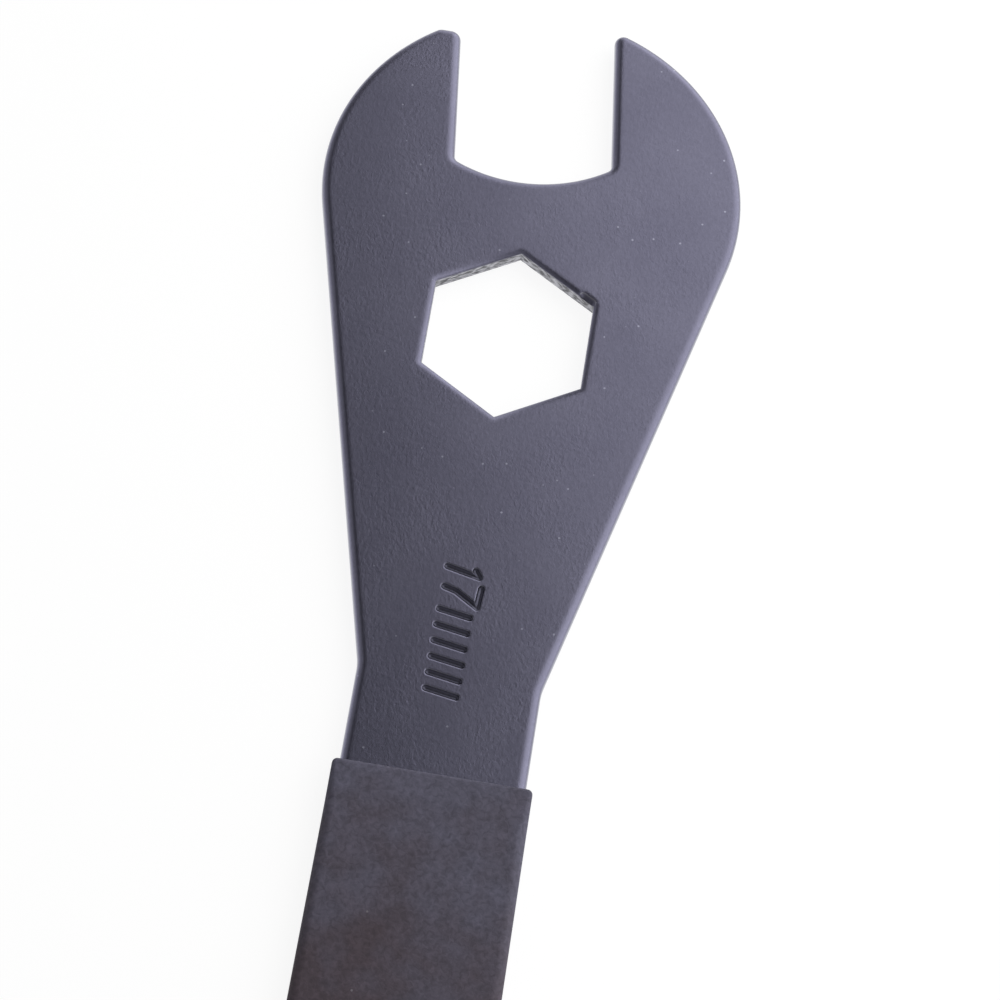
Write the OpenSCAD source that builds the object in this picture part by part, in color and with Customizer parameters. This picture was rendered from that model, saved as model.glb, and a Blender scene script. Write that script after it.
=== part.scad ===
// Cone spanner for 17 mm hub cones, rebuilt from one photograph.
// Two solids: the stamped steel blank and the grip sleeve on its handle.
// X runs across, Y along the handle with the jaw at +Y, Z up; millimetres.
// Z = 0 is the underside of the sleeve, on which the spanner rests.

/* [Overall] */
// Jaw tip to the end of the grip
overall_length = 190; // [160:1:220]
// Thickness of the steel
blank_thickness = 2.0; // [1.9:0.1:3]
// Rounding of the stamped edges, measured along each face
edge_round = 0.85; // [0.3:0.05:0.9]

/* [Head] */
// Radius of the round head
head_radius = 22.75; // [20:0.1:26]
// Half angle between the two straight flanks
flank_angle = 13.86; // [10:0.01:18]
// Inside radius where a flank meets the handle
waist_radius = 6; // [2:0.5:12]

/* [Jaw] */
// Gap between the two flats
jaw_width = 17.1; // [15:0.05:20]
// Lean of the jaw from the handle axis, to the left
jaw_angle = 6.5; // [0:0.1:15]
// Radius of the hollow floor of the jaw
throat_radius = 16.8; // [12:0.1:25]
// Lowest point of that floor above the centre of the head
throat_floor = 1.15; // [-3:0.05:4]
// Inside radius between floor and flats
throat_corner = 0.8; // [0.6:0.05:1.5]
// Rounding of the longer, right-hand tip
right_tip_radius = 1.0; // [0.95:0.05:2]
// Height of the trimmed, left-hand tip above the centre of the head
left_tip_height = 18.6; // [17:0.05:19]
// Rounding of both corners of the left-hand tip
left_tip_radius = 1.2; // [0.95:0.05:1.6]

/* [Hexagon hole] */
// Distance between flats
hex_flats = 17.0; // [15:0.05:19]
// Centre of the hole below the centre of the head
hex_drop = 17.6; // [16:0.1:20]
// Rounding of the edges of the hole
hex_edge_round = 0.4; // [0.2:0.05:0.8]

/* [Handle] */
// Width of the steel handle
handle_width = 18.8; // [16:0.1:22]

/* [Grip] */
// Mouth of the sleeve below the centre of the head
grip_start = 67.5; // [62:0.1:80]
// Thickness of the sleeve beside the handle, at its mouth
grip_side = 0.75; // [0.6:0.05:1.5]
// Thickness of the sleeve above and below the handle
grip_skin = 0.8; // [0.6:0.05:1.5]
// Widening of the sleeve towards its end, each side, in degrees
grip_taper = 0.36; // [0:0.02:1]
// Rounding of the long edges of the sleeve
grip_edge_round = 1.1; // [0.6:0.05:1.4]
// Rounding of the edges at the mouth
mouth_edge_round = 0.45; // [0.2:0.05:0.6]
// Corner radius of the mouth, seen from above
mouth_corner = 1.0; // [0.9:0.05:2]
// Steel end to sleeve end, inside the grip
grip_end_wall = 1.6; // [1:0.1:4]
// Play between steel and sleeve
grip_clearance = 0.05; // [0.02:0.01:0.2]

/* [Hidden] */
// Steps of each edge rounding, from face to wall.
round_steps = 5;
// Degrees from point to point on wide arcs and on small corners.
wide_step = 3;
corner_step = 12;

half_handle = handle_width / 2;
half_jaw = jaw_width / 2;
half_hex = hex_flats / 2;
grip_thickness = blank_thickness + 2 * grip_skin;
middle_z = grip_thickness / 2;

// The slot has its own axes: "across" the jaw and "along" it, out of the mouth.
across = [cos(jaw_angle), sin(jaw_angle)];
along = [-sin(jaw_angle), cos(jaw_angle)];
function slot(a, b) = a * across + b * along;
function turn(v) = atan2(v[1], v[0]);

// Right-hand tip: a circle that touches the flat and the round of the head.
right_tip_a = half_jaw + right_tip_radius;
right_tip_b = sqrt(pow(head_radius - right_tip_radius, 2) - pow(right_tip_a, 2));
right_tip = slot(right_tip_a, right_tip_b);

// The highest point of the right-hand tip ends the overall length.
head_y = overall_length / 2 - right_tip[1] - right_tip_radius;

// Left-hand tip: one circle against the round of the head, one against the flat.
left_tip_y = left_tip_height - left_tip_radius;
left_tip_outer = [-sqrt(pow(head_radius - left_tip_radius, 2) - pow(left_tip_y, 2)), left_tip_y];
left_tip_inner = [-(half_jaw + left_tip_radius + left_tip_y * across[1]) / across[0], left_tip_y];

// Floor of the jaw: one wide arc and two corner circles, in slot axes.
throat_centre = throat_floor + throat_radius;
corner_a = half_jaw - throat_corner;
corner_b = throat_centre - sqrt(pow(throat_radius - throat_corner, 2) - pow(corner_a, 2));
corner_turn = atan2(corner_a, throat_centre - corner_b);

// Flank: touches the head and meets the handle at the waist.
flank_top = head_radius * [cos(flank_angle), -sin(flank_angle)];
flank_run = (flank_top[0] - half_handle) / sin(flank_angle);
waist_y = flank_top[1] - flank_run * cos(flank_angle) - waist_radius * tan(flank_angle / 2);
waist_centre = [half_handle + waist_radius, waist_y];

// Grip, with y measured from the centre of the head.
grip_mouth = -grip_start;
grip_end = -overall_length / 2 - head_y;
grip_half = half_handle + grip_clearance + grip_side;
// Radius of the full round at the end, touching both sides.
end_radius = (grip_half + (grip_mouth - grip_end) * tan(grip_taper)) / (1 / cos(grip_taper) + tan(grip_taper));
end_centre_y = grip_end + end_radius;
mouth_x = grip_half + mouth_corner * tan(grip_taper) - mouth_corner / cos(grip_taper);
// The steel ends in a full round of its own.
tail_y = grip_end + grip_end_wall + grip_clearance + half_handle;

// Points of an arc about c from angle a0 to a1, each with its outward normal and its edge rounding.
// Way out is 1 where the material is inside the curve and -1 where it is outside.
function arc(c, radius, a0, a1, out, step, size0, size1) =
    let (n = 2 * max(1, ceil(abs(a1 - a0) / step / 2)))
    [for (i = [0:n])
        let (a = a0 + (a1 - a0) * i / n, u = [cos(a), sin(a)])
        [c + radius * u, out * u, size0 + (size1 - size0) * i / n]];

function point(p) = p[0];
function normal(p) = p[1];
function size(p) = p[2];
function without_first(list) = [for (i = [1:len(list) - 1]) list[i]];
function without_last(list) = [for (i = [0:len(list) - 2]) list[i]];

// Right side of the blank from above, from the end of the handle to the middle of the throat;
// straight edges join the arcs, and where two arcs touch, the first leaves its last point out.
function right_side(r = edge_round) = concat(
    arc([0, tail_y], half_handle, 270, 360, 1, 2 * wide_step, r, r),
    arc(waist_centre, waist_radius, 180, 180 - flank_angle, -1, wide_step, r, r),
    without_last(arc([0, 0], head_radius, -flank_angle, turn(right_tip), 1, wide_step, r, r)),
    arc(right_tip, right_tip_radius, turn(right_tip), 180 + jaw_angle, 1, corner_step, r, r),
    without_last(arc(slot(corner_a, corner_b), throat_corner,
        360 + jaw_angle, 270 + jaw_angle + corner_turn, -1, corner_step, r, r)),
    arc(slot(0, throat_centre), throat_radius, 270 + jaw_angle + corner_turn, 270 + jaw_angle, -1, wide_step, r, r)
);

// Left side, from the middle of the throat back to the end of the handle.
function left_side(r = edge_round) = concat(
    without_last(arc(slot(0, throat_centre), throat_radius,
        270 + jaw_angle, 270 + jaw_angle - corner_turn, -1, wide_step, r, r)),
    arc(slot(-corner_a, corner_b), throat_corner, 270 + jaw_angle - corner_turn, 180 + jaw_angle, -1, corner_step, r, r),
    arc(left_tip_inner, left_tip_radius, jaw_angle, 90, 1, corner_step, r, r),
    without_last(arc(left_tip_outer, left_tip_radius, 90, turn(left_tip_outer), 1, corner_step, r, r)),
    arc([0, 0], head_radius, turn(left_tip_outer), 180 + flank_angle, 1, wide_step, r, r),
    arc([-waist_centre[0], waist_centre[1]], waist_radius, flank_angle, 0, -1, wide_step, r, r),
    arc([0, tail_y], half_handle, 180, 270, 1, 2 * wide_step, r, r)
);

// Sleeve from above, anticlockwise from its round end; the rounding shrinks round the mouth's corners.
function grip_outline(side = grip_edge_round, mouth = mouth_edge_round) = concat(
    arc([0, end_centre_y], end_radius, 180 - grip_taper, 360 + grip_taper, 1, 2 * wide_step, side, side),
    arc([mouth_x, grip_mouth - mouth_corner], mouth_corner, grip_taper, 90, 1, corner_step, 0.8 * mouth_corner, mouth),
    arc([-mouth_x, grip_mouth - mouth_corner], mouth_corner, 90, 180 - grip_taper, 1, corner_step, mouth, 0.8 * mouth_corner)
);

// Room for the handle, open past the mouth of the sleeve.
function cavity_outline(half = half_handle + grip_clearance, r = edge_round) = concat(
    arc([0, tail_y], half, 180, 360, 1, 2 * wide_step, r, r),
    [[[half, grip_mouth + 3], [1, 0], r], [[-half, grip_mouth + 3], [-1, 0], r]]
);

// Steps of a rounded edge from the upper face over the wall to the lower face:
// share of the rounding taken off the outline, share of it taken off the height, and side of z = 0.
edge_steps = concat(
    [for (k = [0:round_steps]) let (a = 90 * k / round_steps) [1 - sin(a), 1 - cos(a), 1]],
    [for (k = [round_steps:-1:0]) let (a = 90 * k / round_steps) [1 - sin(a), 1 - cos(a), -1]]
);

// Rings of points, from the top down, round a plate about z = 0 with rounded edges.
function plate_rings(outline, thickness) = [for (step = edge_steps) [for (p = outline)
    concat(point(p) - size(p) * step[0] * normal(p), step[2] * (thickness / 2 - size(p) * step[1]))]];

// Rings of the hexagon hole, six corners each, from its upper corner round to the right.
function hex_rings(thickness) = [for (step = edge_steps) [for (k = [0:5])
    let (corner = (half_hex + hex_edge_round * step[0]) / cos(30), a = 90 - 60 * k)
    [corner * cos(a), corner * sin(a) - hex_drop, step[2] * (thickness / 2 - hex_edge_round * step[1])]]];

// Walls between neighbouring rings of n points, numbered from first.
function walls(count, n, first) = [for (k = [0:count - 2]) for (i = [0:n - 1])
    let (j = (i + 1) % n, upper = first + k * n, lower = upper + n)
    [upper + i, upper + j, lower + j, lower + i]];
function backwards(list) = [for (i = [len(list) - 1:-1:0]) list[i]];

// A plate without a hole.
module rounded_plate(outline, thickness) {
    rings = plate_rings(outline, thickness);
    n = len(outline);
    polyhedron(
        points = [for (ring = rings) each ring],
        faces = concat(
            [[for (i = [n - 1:-1:0]) i]],
            walls(len(rings), n, 0),
            [[for (i = [0:n - 1]) (len(rings) - 1) * n + i]]
        ),
        convexity = 8
    );
}

// The blank with its hole. Each flat face is two areas, right and left of a line
// from the end of the handle through the upper and lower corners of the hole to the throat.
module pierced_plate(right, left, thickness) {
    outline = concat(right, without_last(without_first(left)));
    rings = plate_rings(outline, thickness);
    hole = hex_rings(thickness);
    n = len(outline);
    last = len(rings) - 1;
    first_hole = len(rings) * n;
    throat = len(right) - 1;
    // Both areas anticlockwise from above, on ring r.
    function right_area(r) = concat([for (i = [0:throat]) r * n + i],
        [for (k = [0:3]) first_hole + 6 * r + k]);
    function left_area(r) = concat([for (i = [throat:n]) r * n + i % n],
        [for (k = [3:6]) first_hole + 6 * r + k % 6]);
    polyhedron(
        points = concat([for (ring = rings) each ring], [for (ring = hole) each ring]),
        faces = concat(
            [backwards(right_area(0)), backwards(left_area(0))],
            walls(len(rings), n, 0),
            walls(len(hole), 6, first_hole),
            [right_area(last), left_area(last)]
        ),
        convexity = 8
    );
}

// The one stamped piece: jaw, head, hexagon hole, handle.
module spanner_blank() {
    color("#5e5c6b") translate([0, head_y, middle_z])
        pierced_plate(right_side(), left_side(), blank_thickness);
}

// The sleeve over the handle, closed at its end.
module grip_sleeve() {
    color("#4c4851") translate([0, head_y, middle_z]) difference() {
        rounded_plate(grip_outline(), grip_thickness);
        rounded_plate(cavity_outline(), blank_thickness + 2 * grip_clearance);
    }
}

spanner_blank();
grip_sleeve();
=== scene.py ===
"""A cone spanner of coated steel with a rubber grip, lying on a white studio table.

Lengths are written in millimetres and scaled once, at the end of each piece.
The head's centre is the origin while a piece is made, with Y along the handle towards the jaw.
"""
import math

import bmesh
import bpy
from mathutils import Matrix, Vector


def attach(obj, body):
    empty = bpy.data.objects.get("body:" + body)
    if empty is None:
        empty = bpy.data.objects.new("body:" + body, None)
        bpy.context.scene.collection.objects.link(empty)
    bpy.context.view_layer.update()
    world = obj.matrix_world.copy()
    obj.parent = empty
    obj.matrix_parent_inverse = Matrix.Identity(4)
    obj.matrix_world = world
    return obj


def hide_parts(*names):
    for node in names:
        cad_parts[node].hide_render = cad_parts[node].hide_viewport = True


MM = 0.001
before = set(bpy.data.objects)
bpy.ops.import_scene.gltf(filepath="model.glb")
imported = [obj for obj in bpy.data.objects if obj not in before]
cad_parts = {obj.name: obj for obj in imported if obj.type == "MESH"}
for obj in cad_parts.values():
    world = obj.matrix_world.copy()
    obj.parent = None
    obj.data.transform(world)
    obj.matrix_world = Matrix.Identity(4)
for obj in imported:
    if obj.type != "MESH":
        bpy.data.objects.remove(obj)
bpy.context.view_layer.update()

# Same sizes as the solids, in millimetres.
HEAD_RADIUS = 22.75
FLANK_ANGLE = math.radians(13.86)
WAIST_RADIUS = 6.0
JAW_HALF = 8.55
JAW_ANGLE = math.radians(6.5)
THROAT_RADIUS = 16.8
THROAT_FLOOR = 1.15
THROAT_CORNER = 0.8
RIGHT_TIP_RADIUS = 1.0
LEFT_TIP_TOP = 18.6
LEFT_TIP_RADIUS = 1.2
HEX_HALF = 8.5
HEX_DROP = 17.6
HANDLE_HALF = 9.4
HALF_LENGTH = 95.0
BLANK_THICKNESS = 2.0
EDGE_ROUND = 0.85
HEX_EDGE_DROP = 0.32
HEX_EDGE_WIDTH = 0.6
GRIP_START = 67.5
GRIP_SIDE = 0.62
GRIP_SKIN = 0.8
GRIP_TAPER = math.radians(0.36)
GRIP_EDGE_ROUND = 1.1
GRIP_END_WALL = 1.6
MOUTH_EDGE_ROUND = 0.4
MOUTH_CORNER = 0.55
CLEARANCE = 0.05
UNDERSIDE = GRIP_SKIN
TOP = GRIP_SKIN + BLANK_THICKNESS


# Light that reaches the object from all round.
FILL = 0.15


def slot_point(a, b):
    """A point a across the jaw and b along it."""
    return Vector((
        a * math.cos(JAW_ANGLE) - b * math.sin(JAW_ANGLE),
        a * math.sin(JAW_ANGLE) + b * math.cos(JAW_ANGLE),
        0,
    ))


RIGHT_TIP = slot_point(
    JAW_HALF + RIGHT_TIP_RADIUS,
    math.sqrt((HEAD_RADIUS - RIGHT_TIP_RADIUS) ** 2 - (JAW_HALF + RIGHT_TIP_RADIUS) ** 2),
)
HEAD_Y = HALF_LENGTH - RIGHT_TIP.y - RIGHT_TIP_RADIUS
GRIP_END = -HALF_LENGTH - HEAD_Y
TAIL = Vector((0, GRIP_END + GRIP_END_WALL + CLEARANCE + HANDLE_HALF, 0))


def polar(centre, radius, angle):
    return centre + radius * Vector((math.cos(angle), math.sin(angle), 0))


def trace(bm, arcs):
    """Spins a vertex along each arc in turn and joins the arcs with straight edges, as one run of vertices."""
    run = []
    for centre, radius, start, end, step in arcs:
        point = polar(centre, radius, start)
        if not run:
            run.append(bm.verts.new(point))
        elif (run[-1].co - point).length > 1e-3:
            run.append(bm.verts.new(point))
            bm.edges.new((run[-2], run[-1]))
        steps = max(2, math.ceil(abs(end - start) / math.radians(step)))
        for _ in range(steps):
            spun = bmesh.ops.spin(
                bm, geom=[run[-1]], cent=centre, axis=(0, 0, 1), dvec=(0, 0, 0),
                angle=(end - start) / steps, steps=1, use_duplicate=False,
            )
            run += [g for g in spun["geom_last"] if isinstance(g, bmesh.types.BMVert)]
    return run


def blank_outline(bm):
    """The outline as two runs: up the right side from the end of the handle to the throat, and down the left."""
    half_pi = math.pi / 2
    zero = Vector((0, 0, 0))
    throat_y = THROAT_FLOOR + THROAT_RADIUS
    corner_a = JAW_HALF - THROAT_CORNER
    corner_b = throat_y - math.sqrt((THROAT_RADIUS - THROAT_CORNER) ** 2 - corner_a ** 2)
    corner_turn = math.atan2(corner_a, throat_y - corner_b)
    flank_top = polar(zero, HEAD_RADIUS, -FLANK_ANGLE)
    run_down = (flank_top.x - HANDLE_HALF) / math.tan(FLANK_ANGLE)
    waist_y = flank_top.y - run_down - WAIST_RADIUS * math.tan(FLANK_ANGLE / 2)
    waist = Vector((HANDLE_HALF + WAIST_RADIUS, waist_y, 0))
    left_y = LEFT_TIP_TOP - LEFT_TIP_RADIUS
    outer_x = -math.sqrt((HEAD_RADIUS - LEFT_TIP_RADIUS) ** 2 - left_y ** 2)
    outer = Vector((outer_x, left_y, 0))
    inner_x = -(JAW_HALF + LEFT_TIP_RADIUS + left_y * math.sin(JAW_ANGLE)) / math.cos(JAW_ANGLE)
    inner = Vector((inner_x, left_y, 0))
    right_turn = math.atan2(RIGHT_TIP.y, RIGHT_TIP.x)
    left_turn = math.atan2(left_y, outer_x)
    down = 3 * half_pi + JAW_ANGLE
    throat = slot_point(0, throat_y)
    right = trace(bm, [
        (TAIL, HANDLE_HALF, -half_pi, 0, 6),
        (waist, WAIST_RADIUS, math.pi, math.pi - FLANK_ANGLE, 2),
        (zero, HEAD_RADIUS, -FLANK_ANGLE, right_turn, 2),
        (RIGHT_TIP, RIGHT_TIP_RADIUS, right_turn, math.pi + JAW_ANGLE, 9),
        (slot_point(corner_a, corner_b), THROAT_CORNER, 4 * half_pi + JAW_ANGLE, down + corner_turn, 9),
        (throat, THROAT_RADIUS, down + corner_turn, down, 2),
    ])
    left = trace(bm, [
        (throat, THROAT_RADIUS, down, down - corner_turn, 2),
        (slot_point(-corner_a, corner_b), THROAT_CORNER, down - corner_turn, math.pi + JAW_ANGLE, 9),
        (inner, LEFT_TIP_RADIUS, JAW_ANGLE, half_pi, 9),
        (outer, LEFT_TIP_RADIUS, half_pi, left_turn, 9),
        (zero, HEAD_RADIUS, left_turn, math.pi + FLANK_ANGLE, 2),
        (Vector((-waist.x, waist.y, 0)), WAIST_RADIUS, FLANK_ANGLE, 0, 2),
        (TAIL, HANDLE_HALF, math.pi, 3 * half_pi, 6),
    ])
    bmesh.ops.weld_verts(bm, targetmap={left[0]: right[-1], left[-1]: right[0]})
    return right, [right[-1]] + left[1:-1] + [right[0]]


def place(bm):
    """Takes a mesh made in head axes and millimetres to the frame's axes and metres."""
    bmesh.ops.transform(bm, matrix=Matrix.Translation((0, HEAD_Y, 0)), verts=bm.verts)
    bmesh.ops.scale(bm, vec=(MM, MM, MM), verts=bm.verts)


def new_object(bm, name):
    mesh = bpy.data.meshes.new(name)
    bm.to_mesh(mesh)
    bm.free()
    thing = bpy.data.objects.new(name, mesh)
    bpy.context.scene.collection.objects.link(thing)
    return thing


def finish_mesh(bm, name, materials, turn_limit=40):
    """Places a mesh, shades it smooth up to turn_limit degrees, and makes its object."""
    place(bm)
    for face in bm.faces:
        face.smooth = True
    for edge in bm.edges:
        sharp = len(edge.link_faces) == 2 and edge.calc_face_angle(0) > math.radians(turn_limit)
        edge.smooth = not sharp
    piece = new_object(bm, name)
    for material in materials:
        piece.data.materials.append(material)
    return piece


def blank_plate():
    """The stamped plate with its rounded edges and its hexagon hole."""
    bm = bmesh.new()
    right, left = blank_outline(bm)
    corner = HEX_HALF / math.cos(math.pi / 6)
    hexagon = bmesh.ops.create_circle(bm, segments=6, radius=corner)["verts"]
    bmesh.ops.translate(bm, vec=(0, -HEX_DROP, 0), verts=hexagon)
    hexagon.sort(key=lambda v: math.atan2(v.co.x, v.co.y + HEX_DROP + 1e-6 * v.co.x) % (2 * math.pi - 0.01))
    # A line from the throat through two corners of the hole to the tail halves the face.
    for half in (right + hexagon[:4], left + hexagon[3:] + hexagon[:1]):
        outline = [bm.edges.get(pair) or bm.edges.new(pair) for pair in zip(half, half[1:] + half[:1])]
        bmesh.ops.contextual_create(bm, geom=outline)
    bmesh.ops.translate(bm, vec=(0, 0, UNDERSIDE), verts=bm.verts)
    grown = bmesh.ops.extrude_face_region(bm, geom=bm.faces[:])
    raised = [g for g in grown["geom"] if isinstance(g, bmesh.types.BMVert)]
    bmesh.ops.translate(bm, vec=(0, 0, BLANK_THICKNESS), verts=raised)
    bmesh.ops.recalc_face_normals(bm, faces=bm.faces)
    bm.normal_update()
    rims = [e for e in bm.edges if e.calc_face_angle(0) > 1.5 and abs(e.verts[0].co.z - e.verts[1].co.z) < 1e-6]
    hex_rims = [e for e in rims if all((v.co - Vector((0, -HEX_DROP, v.co.z))).length < corner + 0.1 for v in e.verts)]
    outer_rims = [e for e in rims if e not in hex_rims]
    for edges, width in ((outer_rims, EDGE_ROUND), (hex_rims, HEX_EDGE_WIDTH)):
        bmesh.ops.bevel(
            bm, geom=edges, offset=width, offset_type="OFFSET", segments=10, profile=0.5,
            affect="EDGES", clamp_overlap=False, material=-1,
        )
    # The punch draws the face down over a width greater than the depth.
    flatten = HEX_EDGE_DROP / HEX_EDGE_WIDTH
    near_hole = [v for v in bm.verts if math.hypot(v.co.x, v.co.y + HEX_DROP) < corner + HEX_EDGE_WIDTH + 0.3]
    for v in near_hole:
        depth = min(TOP - v.co.z, v.co.z - UNDERSIDE)
        moved = depth * (1 - flatten)
        v.co.z += moved if v.co.z > (TOP + UNDERSIDE) / 2 else -moved
    bm.normal_update()
    for face in bm.faces:
        middle = face.calc_center_median()
        if abs(face.normal.z) < 0.3 and math.hypot(middle.x, middle.y + HEX_DROP) < corner:
            face.material_index = 1
    return bm


def grip_outline():
    """Points round the sleeve: its rounded end, then up one side, across the mouth and down the other."""
    half = HANDLE_HALF + CLEARANCE + GRIP_SIDE
    tangent = math.tan(GRIP_TAPER)
    end_radius = (half + (-GRIP_START - GRIP_END) * tangent) / (1 / math.cos(GRIP_TAPER) + tangent)
    end = Vector((0, GRIP_END + end_radius, 0))
    corner_x = half + MOUTH_CORNER * tangent - MOUTH_CORNER / math.cos(GRIP_TAPER)
    corner = Vector((corner_x, -GRIP_START - MOUTH_CORNER, 0))
    right = [polar(end, end_radius, math.radians(a)) for a in range(-90, 1, 3)]
    start = polar(corner, MOUTH_CORNER, GRIP_TAPER)
    right += [start + t * (right[-1] - start).normalized() for t in (4, 3.2, 2.4, 1.6, 0.8)]
    right += [polar(corner, MOUTH_CORNER, math.radians(a)) for a in range(0, 91, 15)]
    return right + [Vector((-p.x, p.y, 0)) for p in reversed(right[1:])]


def grip_shell():
    """The sleeve without its cavity: rings of its outline, drawn in over the rounding above and below."""
    bm = bmesh.new()
    outline = grip_outline()
    thickness = 2 * GRIP_SKIN + BLANK_THICKNESS
    corner_y = -GRIP_START - MOUTH_CORNER
    levels = [(0, math.radians(a)) for a in range(-90, 1, 10)] + [(1, math.radians(a)) for a in range(0, 91, 10)]
    below = None
    for upper, angle in levels:
        ring = []
        for before, point, after in zip(outline[-1:] + outline[:-1], outline, outline[1:] + outline[:1]):
            outward = (after - before).normalized().cross(Vector((0, 0, 1)))
            share = max(0, min(1, (corner_y - point.y) / 4))
            rounding = MOUTH_EDGE_ROUND + (GRIP_EDGE_ROUND - MOUTH_EDGE_ROUND) * share
            centre_z = thickness - rounding if upper else rounding
            inset = rounding * (1 - math.cos(angle))
            ring.append(bm.verts.new(point - inset * outward + Vector((0, 0, centre_z + rounding * math.sin(angle)))))
        edges = [bm.edges.new(pair) for pair in zip(ring, ring[1:] + ring[:1])]
        if below:
            bmesh.ops.bridge_loops(bm, edges=below + edges)
        if angle in (levels[0][1], levels[-1][1]):
            bmesh.ops.contextual_create(bm, geom=edges)
        below = edges
    bmesh.ops.recalc_face_normals(bm, faces=bm.faces)
    return bm


def cavity():
    """The space in the sleeve: the handle's section with its clearance, open at the mouth."""
    bm = bmesh.new()
    half = HANDLE_HALF + CLEARANCE
    run = trace(bm, [(TAIL, half, math.pi, 2 * math.pi, 6)])
    run += [bm.verts.new((x, 3 - GRIP_START, 0)) for x in (half, -half)]
    for pair in zip(run[-3:], run[-2:] + run[:1]):
        bm.edges.new(pair)
    bmesh.ops.contextual_create(bm, geom=bm.edges[:])
    bmesh.ops.translate(bm, vec=(0, 0, UNDERSIDE - CLEARANCE), verts=bm.verts)
    grown = bmesh.ops.extrude_face_region(bm, geom=bm.faces[:])
    raised = [g for g in grown["geom"] if isinstance(g, bmesh.types.BMVert)]
    bmesh.ops.translate(bm, vec=(0, 0, BLANK_THICKNESS + 2 * CLEARANCE), verts=raised)
    bmesh.ops.recalc_face_normals(bm, faces=bm.faces)
    rims = [e for e in bm.edges if abs(e.verts[0].co.z - e.verts[1].co.z) < 1e-6]
    bmesh.ops.bevel(
        bm, geom=rims, offset=EDGE_ROUND, offset_type="OFFSET", segments=6, profile=0.5,
        affect="EDGES", clamp_overlap=False, material=-1,
    )
    place(bm)
    return new_object(bm, "cavity")


# The size mark in head axes, tops of the figures towards +X: plain figures, then evenly spaced bars.
FIGURES = [
    [(-2.1, -45.04), (1.3, -45.75)],
    [(1.3, -45.75), (0.85, -45.1)],
    [(-2.07, -47.28), (-0.84, -47.6), (1.55, -49.05)],
    [(1.7, -46.95), (1.55, -49.05)],
]
BAR_START = (-2.2, -49.8)
BAR_RUN = (3.2, -0.5)
BAR_PITCH = 1.74
BARS = [
    [(BAR_START[0], BAR_START[1] - i * BAR_PITCH), (BAR_START[0] + BAR_RUN[0], BAR_START[1] + BAR_RUN[1] - i * BAR_PITCH)]
    for i in range(6)
]
MARK_CENTRE = Vector((0, HEAD_Y - 51.9, TOP))
# Fine handling scratches on the left side of the jaw, and the chip at a corner of the hexagon.
SCRATCHES = [
    [(-15.7, 7.2), (-14.9, 6.1), (-14.4, 5.0)],
    [(-13.4, 8.1), (-12.7, 8.5), (-11.9, 8.2), (-11.6, 7.4)],
]
CHIP = [[(7.2, -11.7), (8.3, -12.35)]]
# Radius of the tool for each set of strokes, and how far its middle stays above the face.
CUTS = ((FIGURES + BARS, 0.37, 0.03), (SCRATCHES, 0.07, 0.055), (CHIP, 0.42, 0.05))


def mark_cutter():
    """Round-ended bars along the strokes, sunk into the upper face."""
    bm = bmesh.new()
    for strokes, radius, rise in CUTS:
        for start, end in (pair for stroke in strokes for pair in zip(stroke, stroke[1:])):
            ends = []
            for x, y in (start, end):
                ball = bmesh.ops.create_uvsphere(bm, u_segments=20, v_segments=12, radius=radius)["verts"]
                bmesh.ops.delete(bm, geom=list({f for v in ball for f in v.link_faces}), context="FACES_ONLY")
                bmesh.ops.translate(bm, vec=(x, y, TOP + rise), verts=ball)
                ends += ball
            bmesh.ops.convex_hull(bm, input=ends)
            bmesh.ops.delete(bm, geom=[e for e in bm.edges if not e.link_faces], context="EDGES")
            bmesh.ops.delete(bm, geom=[v for v in bm.verts if not v.link_faces], context="VERTS")
    place(bm)
    return new_object(bm, "mark_cutter")


def carve(piece, cutter):
    """Cuts cutter out of piece and keeps the result as piece's own mesh."""
    cut = piece.modifiers.new("mark", "BOOLEAN")
    cut.operation = "DIFFERENCE"
    cut.solver = "EXACT"
    cut.use_self = True
    cut.object = cutter
    bpy.context.view_layer.update()
    carved = bpy.data.meshes.new_from_object(piece.evaluated_get(bpy.context.evaluated_depsgraph_get()))
    piece.modifiers.clear()
    piece.data = carved
    bpy.data.objects.remove(cutter)


def linear(hex_colour):
    """An sRGB hex colour as linear RGBA."""
    parts = [int(hex_colour[i:i + 2], 16) / 255 for i in (1, 3, 5)]
    return [c / 12.92 if c <= 0.04045 else ((c + 0.055) / 1.055) ** 2.4 for c in parts] + [1.0]


def new_material(name):
    material = bpy.data.materials.new(name)
    material.use_nodes = True
    tree = material.node_tree
    return material, tree, tree.nodes["Principled BSDF"]


def add(tree, kind, sockets=None, **settings):
    """One node of a kind, its settings, and its sockets set to a value or linked from another socket."""
    node = tree.nodes.new(kind)
    for name, value in settings.items():
        setattr(node, name, value)
    for name, value in (sockets or {}).items():
        if isinstance(value, bpy.types.NodeSocket):
            tree.links.new(value, node.inputs[name])
        else:
            node.inputs[name].default_value = value
    return node


def ramp(tree, value, stops, interpolation="LINEAR"):
    node = add(tree, "ShaderNodeValToRGB", {0: value})
    node.color_ramp.interpolation = interpolation
    while len(node.color_ramp.elements) < len(stops):
        node.color_ramp.elements.new(0.5)
    for element, (position, colour) in zip(node.color_ramp.elements, stops):
        element.position = position
        element.color = linear(colour) if isinstance(colour, str) else (colour, colour, colour, 1)
    return node.outputs["Color"]


def per_mm(size):
    """The scale that makes a pattern's features about that many millimetres."""
    return 1 / (size * MM)


def noise(tree, where, size, detail=2.0, twist=0.0):
    """Noise with features of about size millimetres."""
    return add(tree, "ShaderNodeTexNoise", {
        "Vector": where, "Scale": per_mm(size), "Detail": detail, "Distortion": twist,
    }).outputs["Fac"]


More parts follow.
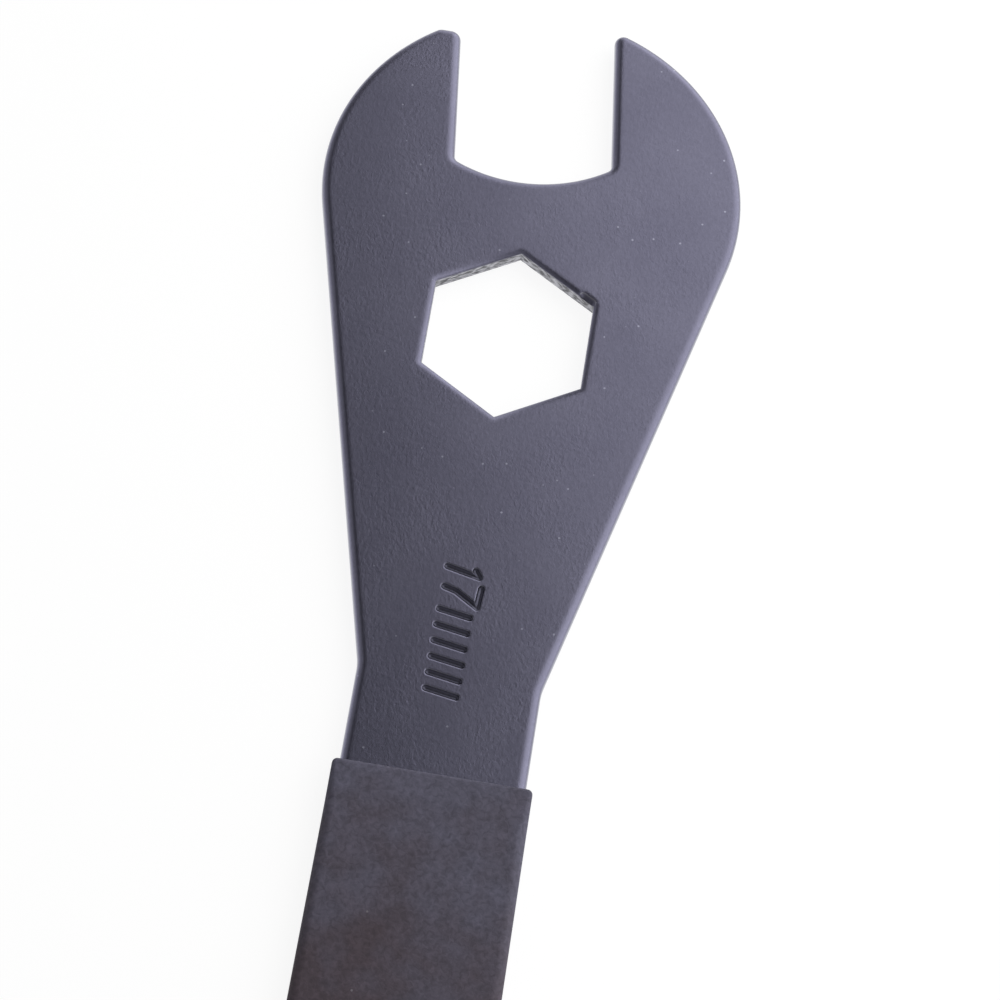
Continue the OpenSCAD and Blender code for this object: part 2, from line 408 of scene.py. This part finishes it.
def blend(tree, kind, factor, below, above):
    """Mixes two colours, each a socket or linear RGBA."""
    node = add(tree, "ShaderNodeMix", {0: factor}, data_type="RGBA", blend_type=kind)
    for socket, value in ((node.inputs[6], below), (node.inputs[7], above)):
        if isinstance(value, bpy.types.NodeSocket):
            tree.links.new(value, socket)
        else:
            socket.default_value = value
    return node.outputs[2]


def specks(tree, where, spacing, size):
    """1 in round dots of about size millimetres, one or none in each cell of spacing millimetres."""
    cells = add(tree, "ShaderNodeTexVoronoi", {"Vector": where, "Scale": per_mm(spacing)})
    dot = size / spacing / 2
    return ramp(tree, cells.outputs["Distance"], [(dot * 0.6, 1.0), (dot, 0.0)])


def coated_steel():
    """Carbon steel under a thin dark zinc coat: a satin, slightly violet grey with fine sanding lines."""
    material, tree, shader = new_material("dark_coated_steel")
    where = add(tree, "ShaderNodeTexCoord").outputs["Object"]
    along = add(tree, "ShaderNodeMapping", {"Vector": where, "Scale": (1, 0.6, 1)}).outputs["Vector"]
    grain = noise(tree, along, 0.3, 4.0, 0.5)
    patches = ramp(tree, noise(tree, where, 5), [(0.38, 0.5), (0.62, 1.0)])
    cloud = ramp(tree, noise(tree, where, 9, 3.0), [(0.3, "#656475"), (0.7, "#6b6a7b")])
    shade = ramp(tree, grain, [(0.25, 0.93), (0.75, 1.07)])
    toned = blend(tree, "MULTIPLY", 1.0, cloud, shade)
    layered_colour = blend(tree, "MIX", specks(tree, where, 2.1, 0.28), toned, linear("#9292a2"))
    # Painted highlight: the steep sides and the steeper parts of the edge roundings get a paler metal colour, standing
    # in for rims that catch the white surroundings.
    true_facing = add(tree, "ShaderNodeNewGeometry").outputs["True Normal"]
    upright = add(tree, "ShaderNodeMath", {
        0: add(tree, "ShaderNodeSeparateXYZ", {0: true_facing}).outputs["Z"],
    }, operation="ABSOLUTE")
    painted_rim_highlight = ramp(tree, upright.outputs[0], [(0.25, 1.0), (0.65, 0.0)])
    # The painted rim highlight: steep surfaces are blended towards #96969f.
    layered_colour = blend(tree, "MIX", painted_rim_highlight, layered_colour, linear("#96969f"))
    # Painted shade: the sunk floors and walls of the stamped strokes by the mark take a dark colour, standing in for
    # the shade in the grooves.
    away = add(tree, "ShaderNodeVectorMath", {0: where, 1: MARK_CENTRE * MM}, operation="DISTANCE")
    by_mark = add(tree, "ShaderNodeMapRange", {
        "Value": away.outputs["Value"], "From Min": 8.4 * MM, "From Max": 8.3 * MM,
    }).outputs["Result"]
    level = add(tree, "ShaderNodeMapRange", {
        "Value": add(tree, "ShaderNodeSeparateXYZ", {0: where}).outputs["Z"],
        "From Min": UNDERSIDE * MM, "From Max": TOP * MM,
    }).outputs["Result"]
    sunk = ramp(tree, level, [(0.6, 0.0), (0.7, 0.6), (0.86, 0.6), (0.97, 0.0)])
    painted_groove_shade = add(tree, "ShaderNodeMath", {0: sunk, 1: by_mark}, operation="MULTIPLY").outputs[0]
    # Painted groove shade: the strokes by the mark are darkened towards #26262c.
    layered_colour = blend(tree, "MIX", painted_groove_shade, layered_colour, linear("#26262c"))
    tree.links.new(layered_colour, shader.inputs["Base Color"])
    shader.inputs["Metallic"].default_value = 1.0
    shader.inputs["Roughness"].default_value = 0.33
    # Stamping and tumbling leave no crisp line where an edge's rounding meets the face.
    radius = add(tree, "ShaderNodeMapRange", {
        "Value": away.outputs["Value"], "From Min": 8.4 * MM, "From Max": 9.0 * MM,
        "To Min": 0.2 * MM, "To Max": 0.65 * MM,
    })
    soft = add(tree, "ShaderNodeBevel", {"Radius": radius.outputs["Result"]}, samples=8)
    bump = add(tree, "ShaderNodeBump", {
        "Height": grain, "Strength": patches, "Distance": 0.02 * MM, "Normal": soft.outputs["Normal"],
    })
    tree.links.new(bump.outputs["Normal"], shader.inputs["Normal"])
    return material


def punched_steel():
    """The hexagon's walls as the punch tears them: bare grey steel with rough streaks along the cut."""
    material, tree, shader = new_material("punched_bare_steel")
    where = add(tree, "ShaderNodeTexCoord").outputs["Object"]
    through = add(tree, "ShaderNodeMapping", {"Vector": where, "Scale": (0.4, 0.4, 1)}).outputs["Vector"]
    streaks = noise(tree, through, 0.28, 4.0)
    tree.links.new(ramp(tree, streaks, [(0.38, "#4e4e52"), (0.62, "#a8a8ae")]), shader.inputs["Base Color"])
    shader.inputs["Metallic"].default_value = 0.85
    shader.inputs["Roughness"].default_value = 0.5
    bump = add(tree, "ShaderNodeBump", {"Height": streaks, "Strength": 0.8, "Distance": 0.12 * MM})
    tree.links.new(bump.outputs["Normal"], shader.inputs["Normal"])
    return material


def grip_rubber():
    """Moulded synthetic rubber: a matte charcoal skin, paler and greyer towards its mouth and darker and browner
    further down.
    """
    material, tree, shader = new_material("moulded_rubber")
    where = add(tree, "ShaderNodeTexCoord").outputs["Object"]
    height = add(tree, "ShaderNodeSeparateXYZ", {0: where}).outputs["Y"]
    drift = add(tree, "ShaderNodeMath", {0: noise(tree, where, 6), 1: 0.05, 2: height}, operation="MULTIPLY_ADD")
    # 0 further down the sleeve and 1 towards its mouth, with some noise in where it turns.
    toward_mouth = add(tree, "ShaderNodeMapRange", {
        "Value": drift.outputs[0], "From Min": 0.005, "From Max": 0.03, "To Min": 0.0, "To Max": 1.0,
    }).outputs["Result"]
    grain = noise(tree, where, 0.5, 4.0, 0.6)
    body = ramp(tree, toward_mouth, [(0.0, "#4c424a"), (1.0, "#5b5969")])
    mottle = ramp(tree, noise(tree, where, 1.6, 4.0), [(0.3, 0.9), (0.7, 1.1)])
    fine = ramp(tree, grain, [(0.3, 0.76), (0.7, 1.24)])
    toned = blend(tree, "MULTIPLY", 1.0, blend(tree, "MULTIPLY", 1.0, body, mottle), fine)
    layered_colour = blend(tree, "MIX", specks(tree, where, 3.4, 0.3), toned, linear("#77727a"))
    tree.links.new(layered_colour, shader.inputs["Base Color"])
    shader.inputs["Roughness"].default_value = 0.85
    bump = add(tree, "ShaderNodeBump", {"Height": grain, "Strength": 0.5, "Distance": 0.06 * MM})
    tree.links.new(bump.outputs["Normal"], shader.inputs["Normal"])
    return material


def white_table():
    """Matte white board. To the camera it glows a little, so that only a faint shadow stays, and more in mirrors."""
    material, tree, shader = new_material("white_table")
    tree.nodes.remove(shader)
    path = add(tree, "ShaderNodeLightPath")
    board = add(tree, "ShaderNodeBsdfDiffuse", {"Color": (0.8, 0.8, 0.8, 1)})
    faint = add(tree, "ShaderNodeBsdfDiffuse", {"Color": (0.16, 0.16, 0.16, 1)})
    pale = add(tree, "ShaderNodeEmission", {"Color": (1, 1, 1, 1), "Strength": 0.9})
    seen = add(tree, "ShaderNodeAddShader", {0: faint.outputs[0], 1: pale.outputs[0]})
    mirrored = add(tree, "ShaderNodeEmission", {"Color": (1, 1, 1, 1), "Strength": 1.4})
    look = add(tree, "ShaderNodeMixShader", {0: path.outputs["Is Glossy Ray"], 1: board.outputs[0], 2: mirrored.outputs[0]})
    direct = add(tree, "ShaderNodeMath", {
        0: path.outputs["Is Camera Ray"], 1: path.outputs["Is Transmission Ray"],
    }, operation="MAXIMUM")
    look = add(tree, "ShaderNodeMixShader", {0: direct.outputs[0], 1: look.outputs[0], 2: seen.outputs[0]})
    tree.links.new(look.outputs[0], tree.nodes["Material Output"].inputs["Surface"])
    return material


def aim(obj, target):
    """Points an object's -Z at target, with its Y up."""
    obj.rotation_euler = (Vector(target) - obj.location).to_track_quat("-Z", "Y").to_euler()


def add_camera():
    """The photograph's viewpoint: above the grip, looking up the handle at the head."""
    data = bpy.data.cameras.new("camera")
    data.lens = 111.193
    data.sensor_width = 36.0
    data.sensor_fit = "HORIZONTAL"
    data.clip_start = 0.01
    data.clip_end = 20
    camera = bpy.data.objects.new("camera", data)
    bpy.context.scene.collection.objects.link(camera)
    axes = Matrix((
        (0.98646, -0.16396, 0.00277),
        (0.15085, 0.90069, -0.40743),
        (0.06430, 0.40233, 0.91323),
    ))
    camera.matrix_world = Matrix.Translation((0.00295, HEAD_Y * MM - 0.166781, 0.294122)) @ axes.to_4x4()
    bpy.context.scene.camera = camera


def add_lamp(name, location, target, size, power, colour="#ffffff"):
    data = bpy.data.lights.new(name, "AREA")
    data.shape = "RECTANGLE"
    data.size, data.size_y = size
    data.energy = power
    data.color = linear(colour)[:3]
    lamp = bpy.data.objects.new(name, data)
    lamp.location = location
    lamp.visible_camera = False
    aim(lamp, target)
    bpy.context.scene.collection.objects.link(lamp)


def glow(tree, value, dim, bright, level):
    """Rises smoothly from 0 where value is dim to level where it is bright."""
    return add(tree, "ShaderNodeMapRange", {
        "Value": value, "From Min": dim, "From Max": bright, "To Min": 0.0, "To Max": level,
    }, interpolation_type="SMOOTHSTEP").outputs["Result"]


def add_world():
    """A white studio, with dark screens in its reflections apart from soft bright fields and the horizon."""
    world = bpy.data.worlds.new("studio")
    world.use_nodes = True
    bpy.context.scene.world = world
    tree = world.node_tree
    tree.nodes.clear()
    path = add(tree, "ShaderNodeLightPath")
    direction = add(tree, "ShaderNodeTexCoord").outputs["Generated"]
    height = add(tree, "ShaderNodeSeparateXYZ", {0: direction}).outputs["Z"]
    side = add(tree, "ShaderNodeVectorMath", {0: direction, 1: (0.764, 0.611, 0.204)}, operation="DOT_PRODUCT")
    front = add(tree, "ShaderNodeVectorMath", {0: direction, 1: (0.0, -0.5, 0.87)}, operation="DOT_PRODUCT")
    behind = add(tree, "ShaderNodeVectorMath", {0: direction, 1: (0.0, 0.94, 0.34)}, operation="DOT_PRODUCT")
    left = add(tree, "ShaderNodeVectorMath", {0: direction, 1: (-0.88, 0.24, 0.41)}, operation="DOT_PRODUCT")
    near = add(tree, "ShaderNodeVectorMath", {0: direction, 1: (0.0, -0.92, 0.39)}, operation="DOT_PRODUCT")
    depth = add(tree, "ShaderNodeSeparateXYZ", {0: direction}).outputs["Y"]
    lit_front = add(tree, "ShaderNodeMath", {0: glow(tree, depth, -0.75, -0.3, 0.7), 1: 0.3}, operation="ADD")
    ring = add(tree, "ShaderNodeMath", {
        0: glow(tree, height, 0.18, 0.0, 1.3), 1: lit_front.outputs[0],
    }, operation="MULTIPLY")
    mirrored = ring.outputs[0]
    for field in (
        glow(tree, side.outputs["Value"], 0.6, 0.95, 0.6),
        glow(tree, front.outputs["Value"], 0.8, 0.97, 0.2),
        glow(tree, behind.outputs["Value"], 0.86, 0.99, 1.6),
        glow(tree, left.outputs["Value"], 0.7, 0.98, 0.6),
        glow(tree, near.outputs["Value"], 0.55, 0.85, 0.35),
    ):
        mirrored = add(tree, "ShaderNodeMath", {0: mirrored, 1: field}, operation="ADD").outputs[0]
    mirrored = add(tree, "ShaderNodeMath", {0: mirrored, 1: 0.03}, operation="ADD").outputs[0]
    reflected = add(tree, "ShaderNodeMix", {0: path.outputs["Is Glossy Ray"], 2: FILL}, data_type="FLOAT")
    tree.links.new(mirrored, reflected.inputs[3])
    plain = add(tree, "ShaderNodeMath", {
        0: path.outputs["Is Camera Ray"], 1: path.outputs["Is Transmission Ray"],
    }, operation="MAXIMUM")
    strength = add(tree, "ShaderNodeMix", {0: plain.outputs[0], 3: 1.0}, data_type="FLOAT")
    tree.links.new(reflected.outputs[0], strength.inputs[2])
    shade = add(tree, "ShaderNodeBackground", {"Color": (1, 1, 1, 1), "Strength": strength.outputs[0]})
    out = add(tree, "ShaderNodeOutputWorld")
    tree.links.new(shade.outputs[0], out.inputs["Surface"])


def add_table(material):
    bm = bmesh.new()
    bmesh.ops.create_circle(bm, cap_ends=True, segments=64, radius=1.2)
    table = new_object(bm, "table")
    table.data.materials.append(material)


scene = bpy.context.scene
scene.view_settings.view_transform = "Standard"
add_camera()
add_world()
add_table(white_table())
add_lamp("softbox", (0.195, 0.139, 0.125), (0, 0.045, 0), (0.56, 0.56), 1.61)

steel = coated_steel()
rubber = grip_rubber()

blank = finish_mesh(blank_plate(), "blank", [steel, punched_steel()])
carve(blank, mark_cutter())
level = blank.modifiers.new("flat faces stay flat", "WEIGHTED_NORMAL")
level.keep_sharp = True
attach(blank, "root")
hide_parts("spanner_blank")

sleeve = finish_mesh(grip_shell(), "sleeve", [rubber])
carve(sleeve, cavity())
level = sleeve.modifiers.new("flat faces stay flat", "WEIGHTED_NORMAL")
level.keep_sharp = True
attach(sleeve, "root")
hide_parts("grip_sleeve")
